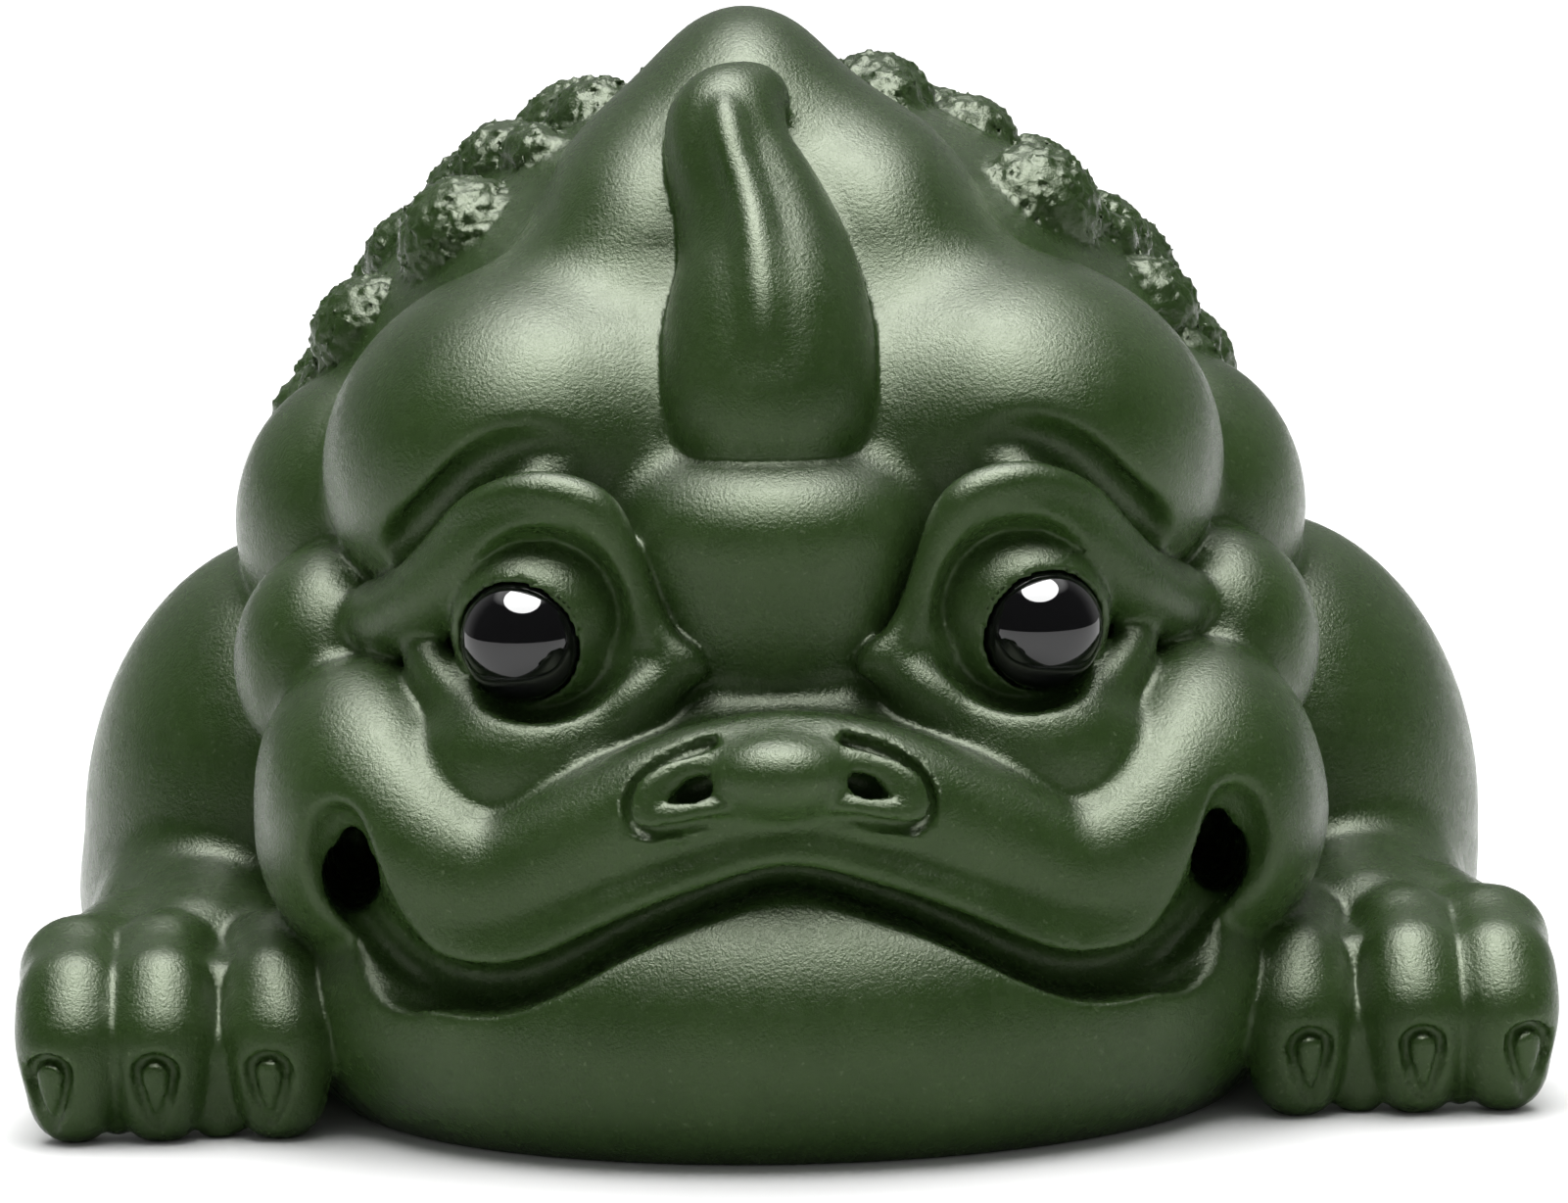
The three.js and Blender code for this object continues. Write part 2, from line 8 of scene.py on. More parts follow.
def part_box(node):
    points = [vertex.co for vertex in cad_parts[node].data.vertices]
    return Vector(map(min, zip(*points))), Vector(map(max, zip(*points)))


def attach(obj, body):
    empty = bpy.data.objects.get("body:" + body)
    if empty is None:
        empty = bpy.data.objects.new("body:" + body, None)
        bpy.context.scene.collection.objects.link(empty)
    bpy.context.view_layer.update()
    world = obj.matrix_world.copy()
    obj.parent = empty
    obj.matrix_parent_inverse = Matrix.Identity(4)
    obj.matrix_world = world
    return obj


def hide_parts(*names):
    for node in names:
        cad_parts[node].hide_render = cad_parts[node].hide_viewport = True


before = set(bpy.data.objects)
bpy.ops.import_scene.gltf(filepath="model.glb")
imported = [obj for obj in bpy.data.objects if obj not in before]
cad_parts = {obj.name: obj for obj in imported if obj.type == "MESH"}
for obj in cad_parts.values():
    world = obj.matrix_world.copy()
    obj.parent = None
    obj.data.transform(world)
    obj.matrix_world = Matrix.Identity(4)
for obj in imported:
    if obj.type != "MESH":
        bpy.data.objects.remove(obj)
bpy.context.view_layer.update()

# The carving is written in shares, of which the figure's width has 101.4; the eye beads tie it to the frame
eyePlace = {"apart": 33.7, "depth": -40.8, "height": 32.8}
sides = (-1, 1)


def middleOf(node):
    low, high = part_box(node)
    return (np.array(low) + np.array(high)) / 2, high[0] - low[0]


leftBead, beadWidth = middleOf("left_eye_bead")
rightBead, beadWidth = middleOf("right_eye_bead")
share = (rightBead[0] - leftBead[0]) / eyePlace["apart"]
shift = (leftBead + rightBead) / 2 - np.array((0, eyePlace["depth"], eyePlace["height"])) * share
print("one share of the width is", round(share * 1000, 3), "mm")


# Turns about X, then Y, then Z, in degrees
def turnMatrix(turn):
    x, y, z = (math.radians(angle) for angle in turn)
    turned = Matrix.Rotation(z, 3, "Z") @ Matrix.Rotation(y, 3, "Y") @ Matrix.Rotation(x, 3, "X")
    return np.array(turned, np.float32)


farOff = 50  # a distance that no stroke reaches
spareRoom = 2  # how far past its blend a stroke is still worked out


# Clay as a field of distances at many points; below zero is inside the clay
class Clay:
    def __init__(self, points):
        self.points = points
        self.depth = np.full(len(points), farOff, np.float32)

    # Points in a box, with the room around it in which a stroke is still felt
    def near(self, low, high, blend):
        found = np.ones(len(self.points), bool)
        room = blend + spareRoom
        for axis in range(3):
            column = self.points[:, axis]
            found &= (column > low[axis] - room) & (column < high[axis] + room)
        return np.nonzero(found)[0]

    def press(self, where, shape, blend, cut):
        old = self.depth[where]
        new = -shape if cut else shape
        soft = np.maximum(blend - np.abs(old - new), 0)
        rounding = soft * soft / blend / 4
        if cut:
            self.depth[where] = np.maximum(old, new) + rounding
        else:
            self.depth[where] = np.minimum(old, new) - rounding

    def lump(self, centre, radii, blend, turn=(0, 0, 0), cut=False):
        reach = [max(radii)] * 3 if any(turn) else radii
        low, high = [c - r for c, r in zip(centre, reach)], [c + r for c, r in zip(centre, reach)]
        where = self.near(low, high, blend)
        local = (self.points[where] - np.array(centre, np.float32)) @ turnMatrix(turn)
        local /= np.array(radii, np.float32)
        far = np.sqrt((local * local).sum(1))
        local /= np.array(radii, np.float32)
        slope = np.sqrt((local * local).sum(1)) + 1e-9
        self.press(where, far * (far - 1) / slope, blend, cut)

    def roll(self, path, thick, blend, soft=1.5, cut=False):
        path = np.array(path, np.float32)
        where = self.near(path.min(0) - max(thick), path.max(0) + max(thick), blend)
        points = self.points[where]
        best = np.full(len(where), farOff, np.float32)
        for n in range(len(path) - 1):
            along = path[n + 1] - path[n]
            offset = points - path[n]
            place = np.clip(offset @ along / float(along @ along), 0, 1)
            offset -= place[:, None] * along
            new = np.sqrt((offset * offset).sum(1)) - thick[n] - (thick[n + 1] - thick[n]) * place
            meet = np.maximum(soft - np.abs(best - new), 0)
            best = np.minimum(best, new) - meet * meet / soft / 4
        self.press(where, best, blend, cut)

    def join(self, other, blend):
        where = np.nonzero(other.depth < farOff - 1)[0]
        self.press(where, other.depth[where], blend, False)


# A smooth curve through points, and thicknesses that change evenly along it
def rounded(points, thick, steps=4):
    points = np.array(points, float)
    points = np.vstack((2 * points[0] - points[1], points, 2 * points[-1] - points[-2]))
    path = []
    for n in range(1, len(points) - 2):
        a, b, c, d = points[n - 1:n + 3]
        for step in range(steps):
            t = step / steps
            bend = (2 * a - 5 * b + 4 * c - d) * t ** 2 + (3 * b - a - 3 * c + d) * t ** 3
            path.append((2 * b + (c - a) * t + bend) / 2)
    path.append(points[-2])
    places = np.linspace(0, len(thick) - 1, len(path))
    return path, [float(value) for value in np.interp(places, range(len(thick)), thick)]


def bothHalves(half, middle):
    return [(-x, y, z) for x, y, z in half] + [middle] + half[::-1]


def onSide(points, side):
    return [(side * x, y, z) for x, y, z in points]


# One lump of the tables below; a paired one is mirrored, apart from its small step aside
def addLump(clay, part, side=1, cut=False):
    x, y, z = part["centre"]
    turnX, turnY, turnZ = part.get("turn", (0, 0, 0))
    centre = (side * x + part.get("aside", 0), y, z)
    clay.lump(centre, part["radii"], part["blend"], (turnX, side * turnY, side * turnZ), cut)


trunk = {
    "front": {"centre": (-0.3, 2, 27), "radii": (35.4, 38, 38.5), "blend": 1},
    "rear": {"centre": (-0.3, 24, 19), "radii": (33, 30, 24), "blend": 9},
    "haunch": {"centre": (24, 22, 14), "radii": (17, 21, 17), "blend": 3},
    "axisHeight": 24,
}


# A place on the trunk, at an angle from straight up, sunk into the clay by some depth
def onBack(y, angle, side, sink):
    dx, dz = math.sin(math.radians(angle)) * side, math.cos(math.radians(angle))
    reach = 0
    for part in (trunk["front"], trunk["rear"]):
        (cx, cy, cz), (rx, ry, rz) = part["centre"], part["radii"]
        room = 1 - ((y - cy) / ry) ** 2
        square = (dx / rx) ** 2 + (dz / rz) ** 2
        lift = (trunk["axisHeight"] - cz) / rz
        middle = 2 * lift * dz / rz
        inside = middle ** 2 - 4 * square * (lift ** 2 - room)
        if room > 0 and inside > 0:
            reach = max(reach, (math.sqrt(inside) - middle) / square / 2)
    return cx + dx * (reach - sink), y, trunk["axisHeight"] + dz * (reach - sink)


def addTrunk(clay):
    addLump(clay, trunk["front"])
    addLump(clay, trunk["rear"])
    for side in sides:
        addLump(clay, trunk["haunch"], side)


hindLeg = {
    "thigh": {"centre": (0, 40, 9), "radii": (15, 11, 9.5), "blend": 3},
    "toe": [(4, 44, 5), (6.5, 49.5, 3.4), (7.2, 51.3, 2.4)],
    "toeThick": (4, 3.2, 2.7),
}


def addHindLeg(clay):
    addLump(clay, hindLeg["thigh"])
    for spread in (-1, 0, 1):
        clay.roll(onSide(hindLeg["toe"], spread), hindLeg["toeThick"], 1.2)


arm = {
    "upper": {"centre": (33.8, -1, 15.5), "radii": (14.7, 18, 19.5), "blend": 1.6, "turn": (8, -6, 0), "aside": 0.5},
    "elbow": {"centre": (40.4, 9, 4.5), "radii": (8.8, 11, 9.5), "blend": 0.5},
    "shoulder": {"centre": (26.9, -8, 36.5), "radii": (9.8, 13, 10.8), "blend": 1.2},
    "fore": [(40, 0, 9), (39.4, -14, 8.4), (39.2, -26, 7.6)],
    "foreThick": (8.5, 7.6, 6.6),
}


def addArm(clay, side):
    addLump(clay, arm["upper"], side)
    addLump(clay, arm["elbow"], side)
    clay.roll(onSide(arm["fore"], side), arm["foreThick"], 2)
    addLump(clay, arm["shoulder"], side)


toes = {
    "inner": {"x": 33.4, "thick": 3.05, "nail": 0.6},
    "middle": {"x": 41.2, "thick": 3.05, "nail": 0.2},
    "outer": {"x": 46.9, "thick": 2.95, "nail": 1.4},
}

# The webs' places across the foot, and their thickness
webs = ((37.5, 1.7), (36.6, 1.2), (44.1, 1.2))

# A nail is a groove around a teardrop, pressed into the round end of its toe at several depths
nail = {
    "outline": [(0, 1.2), (-0.65, 2.6), (-1.15, 4.3), (-1.1, 5.4), (0, 6), (1.1, 5.4), (1.15, 4.3), (0.65, 2.6),
                (0, 1.2)],
    "line": 0.28,
    "toeDepth": -38.8,
    "toeHeight": 2.8,
    "outward": (0, 0.5, 1),
}


def addFoot(clay, side):
    for toe in toes.values():
        x, thick = toe["x"], toe["thick"]
        path = [(x / 2 + 20, -23, 8.2), (x, -31.4, 9.7), (x, -36.4, 8.6), (x, -38.6, 6.2), (x, -38.9, 2.8)]
        clay.roll(onSide(path, side), (5.6, thick + 0.3, thick + 0.2, thick + 0.1, thick), 0.5, 2.5)
    for x, thick in webs:
        path = [(x, -27, 10.6), (x, -35.4, 9.2), (x, -38.2, 5.4), (x, -38.4, 1.4)]
        clay.roll(onSide(path, side), [thick] * len(path), 0.4)
    for toe in toes.values():
        for outward in nail["outward"]:
            line = []
            for across, z in nail["outline"]:
                away = toe["nail"] + across
                below = max(nail["toeHeight"] - z, 0)
                depth = nail["toeDepth"] - math.sqrt(toe["thick"] ** 2 - away ** 2 - below ** 2) - outward
                line.append((toe["x"] + away, depth, z))
            clay.roll(*rounded(onSide(line, side), (nail["line"], nail["line"])), 0.15, 0.3, cut=True)


# Each wart has its place along the body, its angle from straight up and its size
warts = {
    "left": [(2, 16, 4), (2, 26.2, 4.3), (-7, 32.8, 4.8), (5, 39.4, 3.8), (-4, 47.4, 4.4), (4, 59, 3.6)],
    "right": [(4, 12, 4.4), (5, 22, 3.8), (4, 30.4, 3.3), (-7, 29.7, 4.9), (3, 38.2, 3.6), (-4, 46, 3.9),
              (1, 54.5, 3.6)],
    "rows": 5,
    "sink": 1.7,
    "lowest": 58,
    "blend": 0.6,
    "small": 50,
    "smallPlace": (-8, 42),
    "smallSize": (1.6, 2.6),
    "seed": 4,
}


# The warts that show from the front, rows of them over the back, and small ones between
def wartPlaces():
    listed = [(y, angle, -1, size) for y, angle, size in warts["left"]]
    listed += [(y, angle, 1, size) for y, angle, size in warts["right"]]
    for row in range(warts["rows"]):
        step = 12.5 + row * 1.5
        angle = 0 if row % 2 else step / 2
        while angle < warts["lowest"]:
            for side in (sides if angle > 0 else (1,)):
                sway = math.sin(3.1 * row + 0.6 * angle * side)
                y = 12 + row * 8 - row * row * 0.2 + sway
                listed.append((y, angle, side, (4.6 - row * 0.2) * (1 + sway * 0.16)))
            angle += step
    places = [(onBack(y, angle, side, warts["sink"]), size) for y, angle, side, size in listed]
    rng = np.random.default_rng(warts["seed"])
    for n in range(warts["small"]):
        y = rng.uniform(*warts["smallPlace"])
        angle = rng.uniform(0, warts["lowest"])
        size = rng.uniform(*warts["smallSize"])
        places.append((onBack(y, angle, sides[n % 2], size / 4), size))
    return places


def addWarts(clay):
    for place, size in wartPlaces():
        clay.lump(place, (size, size, size), warts["blend"])


head = {
    "crown": {"centre": (-1.3, -10.5, 58.1), "radii": (8.8, 13, 13.3), "blend": 2},
    "skull": {"centre": (0, -18, 36), "radii": (20, 20, 22), "blend": 6},
    "brow": {"centre": (16.2, -22, 43), "radii": (14.2, 16, 12.3), "blend": 5, "turn": (0, 22, 0)},
    "flank": {"centre": (7.6, -14.5, 56.3), "radii": (7.4, 12, 8.2), "blend": 6, "aside": -0.5},
    "neck": {"centre": (0, -20, 20), "radii": (34, 26, 15), "blend": 2.5},
    "throat": {"centre": (0.3, -25.6, 8.2), "radii": (34.5, 30.8, 16.4), "blend": 1.5},
    "cheek": {"centre": (26.6, -29.4, 19.5), "radii": (8.7, 14.3, 10.2), "blend": 1, "turn": (0, 0, 10),
              "aside": 0.6},
    "earLobe": {"centre": (30, -22.6, 29.3), "radii": (6.4, 8.2, 7.6), "blend": 0.7, "turn": (0, -8, 0)},
    "underBrow": {"centre": (17, -45, 33.5), "radii": (10.5, 8, 8.2), "blend": 2},
}


def addHead(clay):
    top = Clay(clay.points)
    addLump(top, head["crown"])
    addLump(top, head["skull"])
    for side in sides:
        addLump(top, head["brow"], side)
        addLump(top, head["flank"], side)
    clay.join(top, 1.2)
    addLump(clay, head["neck"])
    addLump(clay, head["throat"])
    for side in sides:
        addLump(clay, head["cheek"], side)
        addLump(clay, head["earLobe"], side)
        addLump(clay, head["underBrow"], side, cut=True)


muzzle = {
    "bed": {"centre": (0, -37, 22.8), "radii": (15, 13.5, 5.8), "blend": 2},
    "roll": [(27.6, -33, 24), (26.4, -37, 22.4), (24.6, -40.6, 20.2), (21.8, -43, 18.2), (18, -44.6, 17.4),
             (12.8, -46.2, 19.9), (6.5, -47.8, 22.8)],
    "rollThick": [6.4, 5.8, 5, 4.5, 4, 4.2, 4.2],
    "rim": [(28.2, -42, 20.6), (26.2, -43.6, 18.1), (24.6, -44.8, 16), (22.4, -46, 14.4), (20.2, -47, 13.6),
            (17.6, -48, 13.8), (14.4, -49.4, 15.1), (10.8, -50.6, 16.8), (6, -51.6, 18.8)],
    "rimThick": 0.9,
    "groove": [(28.9, -42.6, 18.4), (27.6, -43.8, 15.4), (25.3, -45.6, 12.8), (22.9, -47.6, 11.6),
               (20.4, -49.2, 11.3), (17.6, -50.3, 11.6), (14.4, -51.1, 12.9), (10.8, -51.5, 14.8),
               (6, -51.9, 16.9)],
    "grooveDepths": ((-0.6, 0.8), (0.4, 0.85), (1.5, 0.8), (2.6, 0.75), (3.6, 0.6)),
    "trough": [(29.2, -43.8, 20.8), (28.6, -43.9, 17.8), (27.2, -44.2, 14.6), (24.8, -45.3, 12.2),
               (22.2, -46.4, 11)],
    "troughThick": (1.7, 2.5, 2.5, 1.8, 1),
    "cornerHole": {"centre": (28.3, -37, 17.4), "radii": (1.95, 11, 2.6), "blend": 0.25},
    "cornerTop": {"centre": (28.1, -37, 19.2), "radii": (1.1, 10, 1.8), "blend": 0.2},
}


# A roll of clay runs over the mouth from cheek to cheek; the mouth is a groove below it, cut at several depths
def addMuzzle(clay):
    addLump(clay, muzzle["bed"])
    thick = muzzle["rollThick"]
    clay.roll(*rounded(bothHalves(muzzle["roll"], (0, -48.4, 24.1)), thick + thick[-1:] + thick[::-1]), 2)
    clay.roll(*rounded(bothHalves(muzzle["rim"], (0, -52, 20.3)), [muzzle["rimThick"]] * 2), 1.3)
    for side in sides:
        clay.roll(*rounded(onSide(muzzle["trough"], side), muzzle["troughThick"]), 1, cut=True)
        addLump(clay, muzzle["cornerHole"], side, cut=True)
        addLump(clay, muzzle["cornerTop"], side, cut=True)
    for inward, thick in muzzle["grooveDepths"]:
        groove = [(x, y + inward, z) for x, y, z in bothHalves(muzzle["groove"], (0, -52.2, 18.5))]
        clay.roll(*rounded(groove, (0.8, thick, thick * 0.7, thick * 0.7, thick, 0.8)), 0.6, cut=True)


nose = {
    "bulb": {"centre": (-0.5, -51.7, 25.1), "radii": (4.5, 3.4, 2.8), "blend": 0.8},
    "wing": [(3.6, -53, 23.3), (6, -52.6, 22.8), (7.8, -52, 22.6), (8.7, -51.6, 22.7), (8.6, -51.5, 23.9),
             (7.8, -51.3, 24.9), (6.2, -51, 25.8), (3.8, -50.9, 26.4)],
    "wingThick": (0.4, 0.55, 0.5, 0.5, 0.3),
    "slit": [(6.9, -52.4, 23.6), (5.4, -52.2, 24.3), (3.8, -52, 25)],
    "slitThick": (0.35, 0.6, 0.45),
    "outline": [(4.2, -50.4, 27.2), (6.6, -50.6, 26.5), (8.5, -50.9, 25.3), (9.4, -51.2, 23.9),
                (9.4, -51.4, 22.6), (8.6, -51.9, 21.9), (6.6, -52.6, 22.1), (4.2, -53.2, 22.5),
                (2.2, -53.6, 22.3)],
    "line": 0.38,
}


def addNose(clay):
    addLump(clay, nose["bulb"])
    middle = nose["bulb"]["centre"][0]
    for side in sides:
        wing, slit = ([(side * x + middle, y, z) for x, y, z in nose[name]] for name in ("wing", "slit"))
        clay.roll(*rounded(wing, nose["wingThick"]), 0.6)
        for inward in (0, 1.3):
            clay.roll([(x, y + inward, z) for x, y, z in slit], nose["slitThick"], 0.3, cut=True)
    for outward in (0, 0.7):
        line = [(x + middle, y - outward, z) for x, y, z in bothHalves(nose["outline"], (0, -53.8, 22.1))]
        clay.roll(*rounded(line, (nose["line"], nose["line"])), 0.4, 0.4, cut=True)


lids = {
    "ridge": [(27.4, -28.6, 34), (25.2, -31.8, 34.8), (22.6, -35, 37.4), (19.6, -38.3, 40.8),
              (16, -40.4, 42.2), (12.9, -41, 41.6), (11.3, -41, 40), (10.3, -41, 37.4), (9.2, -41, 34.6),
              (7.6, -41.6, 32.2), (5.4, -42, 30.6)],
    "ridgeThick": (0.6, 0.9, 0.9, 0.8, 0.35),
    "band": [(27.4, -29, 32.8), (25.2, -32.4, 33), (22.4, -35.2, 35), (19, -37.9, 38.2), (15.9, -39.4, 39.9),
             (13.4, -39.8, 39.2), (12.1, -40, 36.8), (11, -39.8, 34), (9.4, -40.6, 31.4)],
    "bandThick": (1.3, 2.1, 2, 1.5, 1.1),
    "crease": [(25, -32.4, 37.8), (22.8, -34.2, 40.4), (19.6, -36.4, 43.5), (16, -38, 45),
               (12.6, -38.8, 44.4)],
    "creaseThick": (0.5, 0.8, 0.8, 0.4),
    "lower": [(23.8, -34.4, 32), (22.2, -37.4, 29.6), (19.8, -40, 27.5), (16.4, -41.6, 26.2),
              (12.8, -42.2, 26.5), (10, -42.2, 28.2), (8, -41.8, 30), (6.2, -41.6, 31.2)],
    "lowerThick": (0.8, 1.5, 1.8, 1.5, 0.4),
}

eyes = {
    "boss": {"centre": (-0.5, -34.6, 38.6), "radii": (10.6, 9.4, 6.4), "blend": 2},
    "bridge": {"centre": (-0.3, -35.6, 33.5), "radii": (8.4, 7.6, 6.2), "blend": 3},
    "bag": {"centre": (16.2, -39.6, 24.6), "radii": (8, 6.6, 6), "blend": 1.1, "turn": (0, 8, 0)},
    "hollow": {"centre": (15.8, -43, 34), "radii": (6, 5.6, 6.4), "blend": 0.8},
    "corner": {"centre": (10.2, -39.2, 30.8), "radii": (2.2, 2, 2.4), "blend": 1.4},
    "ball": {"centre": (15.8, -37.9, 33.5), "radii": (5.8, 5.8, 5.8), "blend": 0.4},
}


def addEyes(clay):
    addLump(clay, eyes["boss"])
    addLump(clay, eyes["bridge"])
    for side in sides:
        clay.roll(*rounded(onSide(lids["band"], side), lids["bandThick"]), 1.2)
        clay.roll(*rounded(onSide(lids["ridge"], side), lids["ridgeThick"]), 0.6)
        clay.roll(*rounded(onSide(lids["crease"], side), lids["creaseThick"]), 1.2, cut=True)
        addLump(clay, eyes["bag"], side)
        clay.roll(*rounded(onSide(lids["lower"], side), lids["lowerThick"]), 1)
        addLump(clay, eyes["hollow"], side, cut=True)
        addLump(clay, eyes["corner"], side)
        addLump(clay, eyes["ball"], side)


horn = {
    "core": [(-0.4, -33.4, 47.2), (-0.3, -31.8, 51.6), (-0.3, -29.4, 55.2), (-1.2, -27.2, 58.9),
             (-2.5, -25.4, 62.1), (-2.7, -23.8, 64.4), (-1.9, -22.8, 65.5), (-0.7, -22.3, 66.1),
             (0.1, -22, 65.2)],
    "thick": (7.2, 6.7, 5.7, 4.8, 4.1, 3.8, 2.8, 2, 1.2),
    "keel": [(-2.9, -27.5, 66), (-2.5, -29.8, 63.4), (-1.5, -32.5, 60.1), (-1, -35.5, 57), (-0.8, -38, 53.5),
             (-0.8, -38.8, 50.5)],
    "keelThick": (0.4, 0.5, 0.7, 0.6, 0.2),
}


def addHorn(clay):
    path, thick = rounded(horn["core"], horn["thick"])
    clay.roll(path, thick, 0.2, 0.5)
    clay.roll(*rounded(horn["keel"], horn["keelThick"]), 1.1)


socket = {"gap": 0.12, "blend": 0.35}


def cutSockets(clay):
    bed = beadWidth / 2 / share + socket["gap"]
    for side in sides:
        centre = (side * eyePlace["apart"] / 2, eyePlace["depth"], eyePlace["height"])
        clay.lump(centre, (bed, bed, bed), socket["blend"], cut=True)


pebbles = {
    "size": 0.95,
    "height": 0.5,
    "level": 0.45,
    "steepness": 2.2,
    "fade": 0.7,
    "skin": 1.5,
    "places": 4096,
    "strides": (73, 179, 283),
    "seed": 7,
}


# Close-set pebbles over the warts, each with its own random centre
def addPebbles(clay):
    rng = np.random.default_rng(pebbles["seed"])
    table = rng.random((pebbles["places"], 3), dtype=np.float32)
    points = clay.points
    cover = np.zeros(len(points), np.float32)
    for place, size in wartPlaces():
        where = clay.near([value - size for value in place], [value + size for value in place], 0)
        far = np.sqrt(((points[where] - np.array(place, np.float32)) ** 2).sum(1))
        shown = np.clip((size + pebbles["fade"] - far) / pebbles["fade"], 0, 1)
        cover[where] = np.maximum(cover[where], shown)
    where = np.nonzero((cover > 0) & (np.abs(clay.depth) < pebbles["skin"]))[0]
    spot = points[where] / pebbles["size"]
    cell = np.floor(spot).astype(np.int64)
    nearest = np.full(len(where), farOff, np.float32)
    second = np.full(len(where), farOff, np.float32)
    for i in (-1, 0, 1):
        for j in (-1, 0, 1):
            for k in (-1, 0, 1):
                other = cell + (i, j, k)
                key = (other * pebbles["strides"]).sum(1) % pebbles["places"]
                far = np.sqrt(((spot - other - table[key]) ** 2).sum(1))
                second = np.minimum(second, np.maximum(nearest, far))
                nearest = np.minimum(nearest, far)
    ridge = np.clip((second - nearest) * pebbles["steepness"], 0, 1)
    change = cover[where] * (ridge - pebbles["level"]) * pebbles["height"]
    clay.depth[where] -= change.astype(np.float32)


def carveToad(points):
    clay = Clay(points)
    addTrunk(clay)
    addHindLeg(clay)
    for side in sides:
        addArm(clay, side)
    addWarts(clay)
    addPebbles(clay)
    addHead(clay)
    addMuzzle(clay)
    addEyes(clay)
    addHorn(clay)
    addNose(clay)
    for side in sides:
        addFoot(clay, side)
    cutSockets(clay)
    return np.maximum(clay.depth, -clay.points[:, 2])


# Grid points close to the surface are found on a coarse grid first, then carved finely
grid = {
    "cell": 0.32,
    "coarse": 3,
    "low": (-53, -60, -1.6),
    "high": (53, 58, 74),
    "unseen": 5,  # the distance given to points that aren't close to the surface
}
cellCorners = [(i, j, k) for i in (0, 1) for j in (0, 1) for k in (0, 1)]


def fineField():
    cell, times, low = grid["cell"], grid["coarse"], grid["low"]
    count = [math.ceil((high - start) / cell / times) for high, start in zip(grid["high"], low)]
    lines = [start + cell * times * np.arange(n + 1, dtype=np.float32) for start, n in zip(low, count)]
    coarse = carveToad(np.stack(np.meshgrid(*lines, indexing="ij"), -1).reshape(-1, 3))
    coarse = coarse.reshape([n + 1 for n in count])
    inside = coarse < 0
    around = [inside[i:count[0] + i, j:count[1] + j, k:count[2] + k] for i, j, k in cellCorners]
    crossed = np.any(around, 0) & ~np.all(around, 0)
    padded = np.pad(crossed, 1)
    band = np.zeros_like(crossed)
    for i in range(3):
        for j in range(3):
            for k in range(3):
                band |= padded[i:i + count[0], j:j + count[1], k:k + count[2]]
    spread = band.repeat(times, 0).repeat(times, 1).repeat(times, 2)
    size = [n * times for n in count]
    near = np.zeros([n + 1 for n in size], bool)
    for i, j, k in cellCorners:
        near[i:size[0] + i, j:size[1] + j, k:size[2] + k] |= spread
    field = np.full([n + 1 for n in size], grid["unseen"], np.float32)
    filled = inside[:-1, :-1, :-1].repeat(times, 0).repeat(times, 1).repeat(times, 2)
    field[:-1, :-1, :-1] = np.where(filled, -grid["unseen"], grid["unseen"])
    where = np.nonzero(near)
    points = np.stack([low[axis] + cell * where[axis] for axis in range(3)], 1).astype(np.float32)
    field[where] = carveToad(points)
    print("carved", len(points), "points")
    return field


# One corner in each grid cell that the surface crosses, one quad at each crossed grid edge
def skinOf(field):
    inside = field < 0
    count = [n - 1 for n in field.shape]
    around = [inside[i:count[0] + i, j:count[1] + j, k:count[2] + k] for i, j, k in cellCorners]
    full = sum(corner.astype(np.int8) for corner in around)
    cells = np.nonzero((full > 0) & (full < len(cellCorners)))
    number = np.full(count, -1, np.int32)
    number[cells] = np.arange(len(cells[0]))
    value = {c: field[cells[0] + c[0], cells[1] + c[1], cells[2] + c[2]] for c in cellCorners}
    total = np.zeros((len(cells[0]), 3), np.float32)
    crossings = np.zeros(len(cells[0]), np.float32)
    for start in cellCorners:
        for axis in range(3):
            if start[axis]:
                continue
            end = tuple(1 if n == axis else start[n] for n in range(3))
            a, b = value[start], value[end]
            crossed = (a < 0) != (b < 0)
            part = np.where(crossed, a / np.where(crossed, a - b, 1), 0)
            for n in range(3):
                total[:, n] += np.where(crossed, start[n] + (part if n == axis else 0), 0)
            crossings += crossed
    points = np.array(grid["low"], np.float32) + grid["cell"] * (total / crossings[:, None] + np.stack(cells, 1))
    quads = []
    for axis in range(3):
        right, up = (axis + 1) % 3, (axis + 2) % 3
        rim = [slice(1, n - 1) for n in field.shape]
        first, second = list(rim), list(rim)
        first[axis] = slice(0, field.shape[axis] - 1)
        second[axis] = slice(1, field.shape[axis])
        a, b = inside[tuple(first)], inside[tuple(second)]
        edges = np.nonzero(a != b)
        base = [edges[n] + (0 if n == axis else 1) for n in range(3)]
        ring = []
        for back in ((0, 0), (1, 0), (1, 1), (0, 1)):
            place = list(base)
            place[right] = base[right] - back[0]
            place[up] = base[up] - back[1]
            ring.append(number[tuple(place)])
        quad = np.stack(ring, 1)
        flip = ~a[edges]
        quad[flip] = quad[flip][:, ::-1]
        quads.append(quad)
    return points, np.concatenate(quads)


# Fits the carved points to the frame and keeps them inside the solid's own box
def toFrame(points):
    placed = points * share + shift
    low, high = (np.array(corner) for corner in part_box("toad_body"))
    start, end = placed.min(0), placed.max(0)
    return low + (placed - start) * (high - low) / (end - start)


def newPiece(name, points, faces, material):
    mesh = bpy.data.meshes.new(name)
    mesh.from_pydata(points, [], faces)
    mesh.polygons.foreach_set("use_smooth", [True] * len(mesh.polygons))
    mesh.materials.append(material)
    piece = bpy.data.objects.new(name, mesh)
    bpy.context.collection.objects.link(piece)
    return piece


